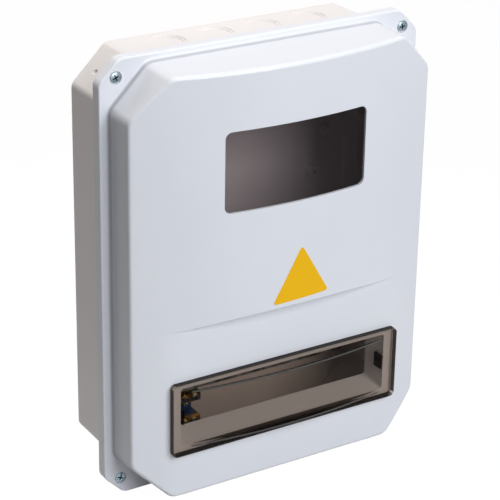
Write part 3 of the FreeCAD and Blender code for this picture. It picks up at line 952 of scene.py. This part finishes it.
    def _mark_recess(self, mesh: bpy.types.Mesh, points: Sequence[Vector], sizes: ScrewSizes) -> None:
        """Mark the faces that lie below a head's top, inside its recess, which get painted shade.

        Args:
            mesh: The mesh of all the screws.
            points: Seats of the screws' heads.
            sizes: Sizes of the screws.
        """
        reach = min(sizes.recess_length / 2, self.RIM_SHARE * sizes.head_radius)
        mark = mesh.attributes.new(RECESS_SHADE, "FLOAT", "FACE")
        for face in mesh.polygons:
            seat = min(points, key=lambda point: (point - face.center).length)
            arm = face.center - seat
            radius = math.hypot(arm.x, arm.z)
            top = sizes.head_height + sizes.dome * (1 - (radius / sizes.head_radius) ** 2)
            inside = radius <= reach and self.MARGIN < -arm.y < top - self.MARGIN
            mark.data[face.index].value = float(inside)


@dataclass
class MeterBox:
    """What every sub-assembly needs: the frame's solids and the materials."""

    nodes: Mapping[str, bpy.types.Object]
    wardrobe: Wardrobe

    def stand_in(self, node: str, body: str, finish: Finish, slot: str) -> bpy.types.Object:
        """Replace a solid by its smooth copy.

        Args:
            node: The solid's name.
            body: The body that the copy rides on.
            finish: Its finish.
            slot: Passed on to settle.

        Returns:
            The copy.
        """
        piece = smooth_copy(self.nodes[node], node + "_dressed")
        self.settle(piece, body, finish, slot, node)
        return piece

    def settle(self, piece: bpy.types.Object, body: str, finish: Finish, slot: str, *nodes: str) -> None:
        """Dress a piece, hang it on its body and hide the solids that it stands for.

        Args:
            piece: The piece.
            body: The body that it rides on.
            finish: Its finish.
            slot: Not used.
            nodes: Solids that it stands for.
        """
        self.wardrobe.dress(piece, finish)
        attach(piece, body)
        if nodes:
            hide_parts(*nodes)
        LOG.info("%s on %s with %d faces", piece.name, body, len(piece.data.polygons))


@dataclass
class Tray(MeterBox):
    """The box on the wall and what is screwed into it."""

    bar_front: float = 28.0 * MM
    bar_left: float = -118.0 * MM
    bar_length: float = 80.0 * MM
    foot: float = 12.0 * MM
    terminals: int = 7
    earth_z: float = -157.0 * MM
    neutral_z: float = -183.0 * MM
    wire_seed: int = 3
    end_seed: int = 5

    def build(self) -> None:
        """Dress the tray, the rail and both terminal bars."""
        self.stand_in("back_box", "base", Finish.TRAY, "tray_plastic")
        for node in ("din_rail", "rail_bracket_left", "rail_bracket_right"):
            self.wardrobe.dress(self.nodes[node], Finish.GALVANISED)
        for node in ("bracket_screws", "rail_screws", "earth_holder_screws", "neutral_holder_screws"):
            self.wardrobe.dress(self.nodes[node], Finish.ZINC)
        bars = (("earth", self.earth_z, Finish.GREEN), ("neutral", self.neutral_z, Finish.BLUE))
        for bar, z, finish in bars:
            self.wardrobe.dress(self.nodes[bar + "_bar"], Finish.BRASS)
            self.wardrobe.dress(self.nodes[bar + "_holders"], finish)
            self._terminals(bar, z)

    def _terminals(self, bar: str, z: float) -> None:
        """Screws of one terminal bar.

        Args:
            bar: Name of the bar.
            z: Its height.
        """
        step = (self.bar_length - 2 * self.foot) / self.terminals
        first = self.bar_left + self.foot
        seats = [Vector((first + (i + 0.5) * step, -self.bar_front, z)) for i in range(self.terminals)]
        ends = [Vector((self.bar_left + self.foot / 2, -self.bar_front, z)),
                Vector((self.bar_left + self.bar_length - self.foot / 2, -self.bar_front, z))]
        zinc = self.wardrobe.get(Finish.ZINC)
        name = bar + "_bar_screws_dressed"
        wires = ScrewTree(bar + "_wire_screws", self.wire_seed)
        feet = ScrewTree(bar + "_end_screws", self.end_seed)
        meshes = [wires.place(name, seats, WIRE_SCREW, zinc),
                  feet.place(name + "_ends", ends, END_SCREW, zinc)]
        piece = new_piece(name, joined(name, meshes))
        self.settle(piece, "base", Finish.ZINC, "zinc_steel", bar + "_bar_screws")


def joined(name: str, meshes: Sequence[bpy.types.Mesh]) -> bpy.types.Mesh:
    """Join meshes into one.

    Args:
        name: Name of the result.
        meshes: The meshes, which are used up.

    Returns:
        One mesh.
    """
    work = bmesh.new()
    for mesh in meshes:
        work.from_mesh(mesh)
        bpy.data.meshes.remove(mesh)
    made = bpy.data.meshes.new(name)
    work.to_mesh(made)
    work.free()
    return made


@dataclass
class Cover(MeterBox):
    """The crowned cover, its window, its seal and its screws."""

    screw_x: float = 148.5 * MM
    screw_z: float = 193.5 * MM
    screw_seat: float = 68.8 * MM
    crown_radius: float = 474.0 * MM
    crown_depth: float = 131.0 * MM
    screw_seed: int = 11
    sticker_corners_mm: tuple[Span, ...] = ((5.6, 30.6), (35.9, -22.6), (-26.2, -23.4))
    sticker_round_mm: float = 2.2
    sticker_arc_steps: int = 6
    sticker_cuts_mm: range = range(-24, 36, 4)
    sticker_thickness: float = 0.15 * MM

    def build(self) -> None:
        """Dress the cover and what rides with it."""
        self.stand_in("front_cover", "cover", Finish.COVER, "cover_plastic")
        self.stand_in("meter_window", "cover", Finish.PANE, "smoked_plastic")
        self.wardrobe.dress(self.nodes["cover_gasket"], Finish.RUBBER)
        self.wardrobe.dress(self.nodes["screw_retainers"], Finish.NYLON)
        self._screws()
        self._sticker()

    def _screws(self) -> None:
        """Cross-head screws at the flange's corners."""
        seats = [Vector((sx * self.screw_x, -self.screw_seat, sz * self.screw_z))
                 for sx in (-1, 1) for sz in (-1, 1)]
        name = "cover_screws_dressed"
        zinc = self.wardrobe.get(Finish.ZINC)
        heads = ScrewTree("cover_screw_heads", self.screw_seed)
        piece = new_piece(name, heads.place(name, seats, COVER_SCREW, zinc))
        self.settle(piece, "cover", Finish.ZINC, "zinc_steel", "cover_screws")

    def crown(self, x: float) -> float:
        """Depth of the crowned face at one x."""
        return math.sqrt(self.crown_radius ** 2 - x ** 2) - (self.crown_radius - self.crown_depth)

    def _sticker(self) -> None:
        """Blank film on the crowned face, a triangle with rounded corners."""
        corners = [Vector(corner) for corner in self.sticker_corners_mm]
        outline = rounded_outline(corners, self.sticker_round_mm, self.sticker_arc_steps)
        work = bmesh.new()
        work.faces.new([work.verts.new((point.x * MM, 0.0, point.y * MM)) for point in outline])
        for x in self.sticker_cuts_mm:
            whole = work.verts[:] + work.edges[:] + work.faces[:]
            bmesh.ops.bisect_plane(work, geom=whole, plane_co=(x * MM, 0, 0), plane_no=(1, 0, 0))
        for vert in work.verts:
            vert.co.y = -self.crown(vert.co.x)
        skirt = bmesh.ops.extrude_face_region(work, geom=work.faces[:])
        for vert in skirt["geom"]:
            if isinstance(vert, bmesh.types.BMVert):
                vert.co.y -= self.sticker_thickness
        bmesh.ops.recalc_face_normals(work, faces=work.faces)
        mesh = bpy.data.meshes.new("sticker")
        work.to_mesh(mesh)
        work.free()
        self.settle(new_piece("sticker", mesh), "cover", Finish.YELLOW, "cover_plastic")


def rounded_outline(corners: Sequence[Vector], radius: float, steps: int) -> list[Vector]:
    """Round the corners of a flat outline.

    Args:
        corners: Corners in order.
        radius: Radius of every corner.
        steps: Pieces of each arc.

    Returns:
        The points of the rounded outline.
    """
    points: list[Vector] = []
    for i, corner in enumerate(corners):
        back = (corners[i - 1] - corner).normalized()
        ahead = (corners[(i + 1) % len(corners)] - corner).normalized()
        half = back.angle(ahead) / 2
        centre = corner + (back + ahead).normalized() * (radius / math.sin(half))
        start = corner + back * (radius / math.tan(half)) - centre
        end = corner + ahead * (radius / math.tan(half)) - centre
        for k in range(steps + 1):
            arm = start.slerp(end, k / steps) if k else start.copy()
            points.append(centre + arm)
    return points


@dataclass
class Lid(MeterBox):
    """The smoked lid over the breakers."""

    def build(self) -> None:
        """Dress the lid."""
        self.stand_in("breaker_lid", "lid", Finish.LID, "smoked_plastic")


@dataclass(frozen=True)
class SoftLamp:
    """A soft square lamp."""

    name: str
    place: Point
    aim: Point
    size: float
    power: float
    colour: Colour

    def build(self) -> None:
        """Hang the lamp in its place and turn it to its aim."""
        data = bpy.data.lights.new(self.name, "AREA")
        data.shape = "SQUARE"
        data.size = self.size
        data.energy = self.power
        data.color = self.colour
        lamp = bpy.data.objects.new(self.name, data)
        lamp.location = self.place
        lamp.rotation_euler = (Vector(self.aim) - Vector(self.place)).to_track_quat("-Z", "Y").to_euler()
        bpy.context.scene.collection.objects.link(lamp)


@dataclass
class Studio:
    """Camera, floor, lamps and background."""

    camera_place: Point = (-0.8835, -1.4478, 0.7262)
    yaw_deg: float = 32.33
    pitch_deg: float = 23.86
    roll_deg: float = -1.01
    lens_mm: float = 140.55
    sensor_mm: float = 36.0
    clip_end: float = 50.0
    floor_z: float = -0.2103
    floor_half: float = 6.0
    floor_near: Colour = (0.4, 0.4, 0.4)
    floor_far: Colour = (0.12, 0.12, 0.12)
    floor_change: Span = (0.4, 0.8)
    floor_glow: float = 1.14
    floor_glow_share: float = 0.86
    sky: Colour = (0.93, 0.96, 1.0)
    sky_strength: float = 0.02
    lamps: tuple[SoftLamp, ...] = (
        SoftLamp("overhead", (-0.2, 0.1, 2.0), (0.0, -0.05, 0.0), 1.2, 26.0, (1.0, 0.96, 0.92)),
        SoftLamp("front", (0.29, -2.18, 1.16), (0.0, -0.1, 0.0), 1.7, 59.0, (0.975, 0.985, 1.0)),
        SoftLamp("back", (-0.65, 2.05, 1.1), (0.0, -0.05, 0.0), 2.0, 15.0, (1.0, 0.955, 0.90)))

    def build(self) -> None:
        """Make everything around the object."""
        self._camera()
        self._floor()
        self._world()
        for lamp in self.lamps:
            lamp.build()

    def _camera(self) -> None:
        """Camera at the photograph's place."""
        yaw = math.radians(self.yaw_deg)
        pitch = math.radians(self.pitch_deg)
        roll = math.radians(self.roll_deg)
        ahead = Vector((math.sin(yaw) * math.cos(pitch), math.cos(yaw) * math.cos(pitch), -math.sin(pitch)))
        level = ahead.cross(Vector((0.0, 0.0, 1.0))).normalized()
        down = ahead.cross(level)
        right = level * math.cos(roll) + down * math.sin(roll)
        up = level * math.sin(roll) - down * math.cos(roll)
        turn = Matrix((right, up, -ahead)).transposed()
        data = bpy.data.cameras.new("photo_camera")
        data.lens = self.lens_mm
        data.sensor_width = self.sensor_mm
        data.clip_end = self.clip_end
        camera = bpy.data.objects.new("photo_camera", data)
        camera.matrix_world = Matrix.Translation(self.camera_place) @ turn.to_4x4()
        bpy.context.scene.collection.objects.link(camera)
        bpy.context.scene.camera = camera

    def _floor(self) -> None:
        """Plain pale floor that keeps a soft shadow."""
        work = bmesh.new()
        bmesh.ops.create_grid(work, x_segments=1, y_segments=1, size=self.floor_half,
                              matrix=Matrix.Translation((0.0, 0.0, self.floor_z)))
        mesh = bpy.data.meshes.new("floor")
        work.to_mesh(mesh)
        work.free()
        floor = new_piece("floor", mesh)
        made = bpy.data.materials.new("pale_floor")
        graph = Graph(made)
        reach = graph.node("ShaderNodeVectorMath", {"operation": "LENGTH"}, {0: graph.here()}, "Value")
        near = graph.node("ShaderNodeBsdfDiffuse", {}, {"Color": self.floor_near})
        far = graph.node("ShaderNodeBsdfDiffuse", {}, {"Color": self.floor_far})
        change = graph.ramp(reach, *self.floor_change)
        plain = graph.node("ShaderNodeMixShader", {}, {0: change, 1: near, 2: far})
        bright = graph.node("ShaderNodeEmission", {}, {"Color": WHITE, "Strength": self.floor_glow})
        share = seen(graph) * self.floor_glow_share
        mixed = graph.node("ShaderNodeMixShader", {}, {0: share, 1: plain, 2: bright})
        graph.node_output(mixed, "ShaderNodeOutputMaterial")
        floor.data.materials.append(made)

    def _world(self) -> None:
        """White background and an even, dimmer light."""
        world = bpy.data.worlds.new("studio")
        bpy.context.scene.world = world
        graph = Graph(world)
        light = graph.node("ShaderNodeBackground", {}, {"Color": self.sky, "Strength": self.sky_strength})
        white = graph.node("ShaderNodeBackground", {}, {"Color": WHITE, "Strength": 1.0})
        mixed = graph.node("ShaderNodeMixShader", {}, {0: seen(graph), 1: light, 2: white})
        graph.node_output(mixed, "ShaderNodeOutputWorld")


def seen(graph: Graph) -> Signal:
    """One for rays from the camera, from glossy and from clear surfaces.

    Args:
        graph: The graph of the floor or the world.

    Returns:
        The mask.
    """
    camera = graph.node("ShaderNodeLightPath", output="Is Camera Ray")
    glossy = graph.node("ShaderNodeLightPath", output="Is Glossy Ray")
    clear = graph.node("ShaderNodeLightPath", output="Is Transmission Ray")
    return camera.larger(glossy).larger(clear)


def main() -> None:
    """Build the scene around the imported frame."""
    logging.basicConfig(level=logging.INFO, format="%(name)s: %(message)s")
    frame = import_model()
    bpy.context.scene.view_settings.view_transform = "Standard"
    wardrobe = Wardrobe()
    Studio().build()
    Tray(frame["nodes"], wardrobe).build()
    Cover(frame["nodes"], wardrobe).build()
    Lid(frame["nodes"], wardrobe).build()


if __name__ == "__main__":
    main()
